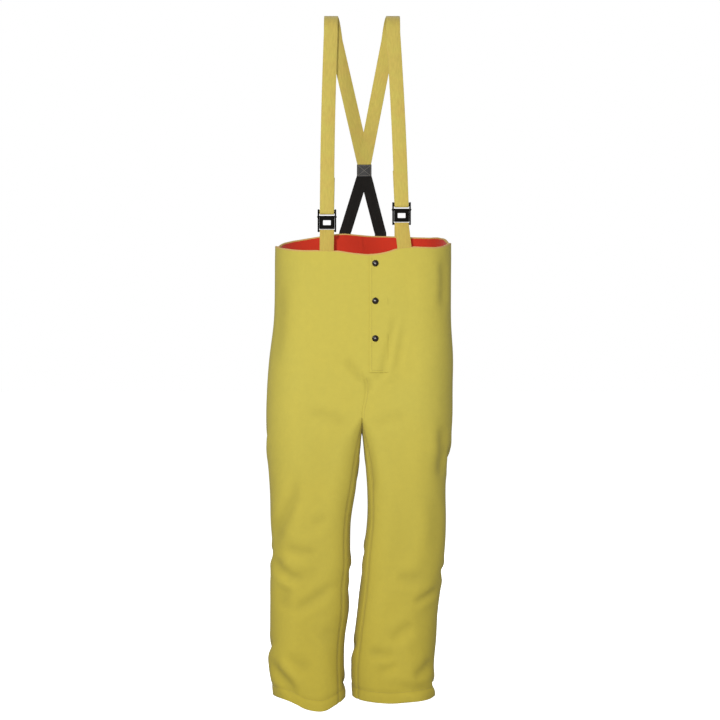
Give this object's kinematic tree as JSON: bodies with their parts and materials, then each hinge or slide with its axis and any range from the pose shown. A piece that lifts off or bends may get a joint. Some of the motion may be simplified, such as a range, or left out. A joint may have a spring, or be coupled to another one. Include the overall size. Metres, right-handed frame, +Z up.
{
  "type": "bunker trousers with braces",
  "caption": "Fire-resistant bunker trousers with a lined body, a snap fly, hem facings and crossed webbing braces with lever buckles.",
  "frame": {"origin": "on the axis of the shoulder rail that the braces hang over, midway between the two braces", "axes": "+Z up, -Y towards the front of the trousers, +X towards the wearer's left, along the rail"},
  "size_m": [0.4825, 0.2559, 1.7918],
  "materials": {
    "shell": "matt woven aramid cloth, dyed yellow",
    "barrier": "thin coated moisture barrier, off-white",
    "liner": "soft quilted thermal liner, orange red",
    "binding": "folded tan edge binding",
    "webbing": "flat woven webbing, yellow",
    "elastic": "ribbed woven elastic, black",
    "patch": "black stitched patch",
    "buckle": "black coated steel, semi-gloss",
    "pin": "bright steel pin",
    "snap": "dark brown enamelled brass snap"
  },
  "bodies": {
    "root": {"shell_front_left": "shell", "shell_front_right": "shell", "shell_back_left": "shell", "shell_back_right": "shell", "barrier_front_left": "barrier", "barrier_front_right": "barrier", "barrier_back_left": "barrier", "barrier_back_right": "barrier", "liner_front_left": "liner", "liner_front_right": "liner", "liner_back_left": "liner", "liner_back_right": "liner", "waist_facing": "liner", "waist_binding": "binding", "hem_facing_left": "shell", "hem_facing_right": "shell", "fly_hinge_strip": "shell", "fly_underlap": "shell", "snap_studs": "snap", "snap_backs": "snap", "shoulder_strap_left": "webbing", "shoulder_strap_right": "webbing", "front_tab_left": "webbing", "front_tab_right": "webbing", "elastic_left": "elastic", "elastic_right": "elastic", "cross_patch_inner": "patch", "cross_patch_outer": "patch", "left_buckle_frame": "buckle", "left_buckle_pin": "pin", "right_buckle_frame": "buckle", "right_buckle_pin": "pin"},
    "fly": {"fly_flap": "shell", "snap_caps": "snap", "snap_sockets": "snap"},
    "left_lever": {"left_buckle_lever": "buckle"},
    "right_lever": {"right_buckle_lever": "buckle"}
  },
  "joints": [
    {"name": "fly_hinge", "type": "hinge", "parent": "root", "child": "fly", "pos_m": [0.062, -0.1207, -0.72], "axis": [0, 0, 1], "range_deg": [0, 140]},
    {"name": "left_lever_pivot", "type": "hinge", "parent": "root", "child": "left_lever", "pos_m": [0.0995, -0.1122, -0.4625], "axis": [-1, 0, 0], "range_deg": [0, 110]},
    {"name": "right_lever_pivot", "type": "hinge", "parent": "root", "child": "right_lever", "pos_m": [-0.0885, -0.1122, -0.4805], "axis": [-1, 0, 0], "range_deg": [0, 110]}
  ]
}
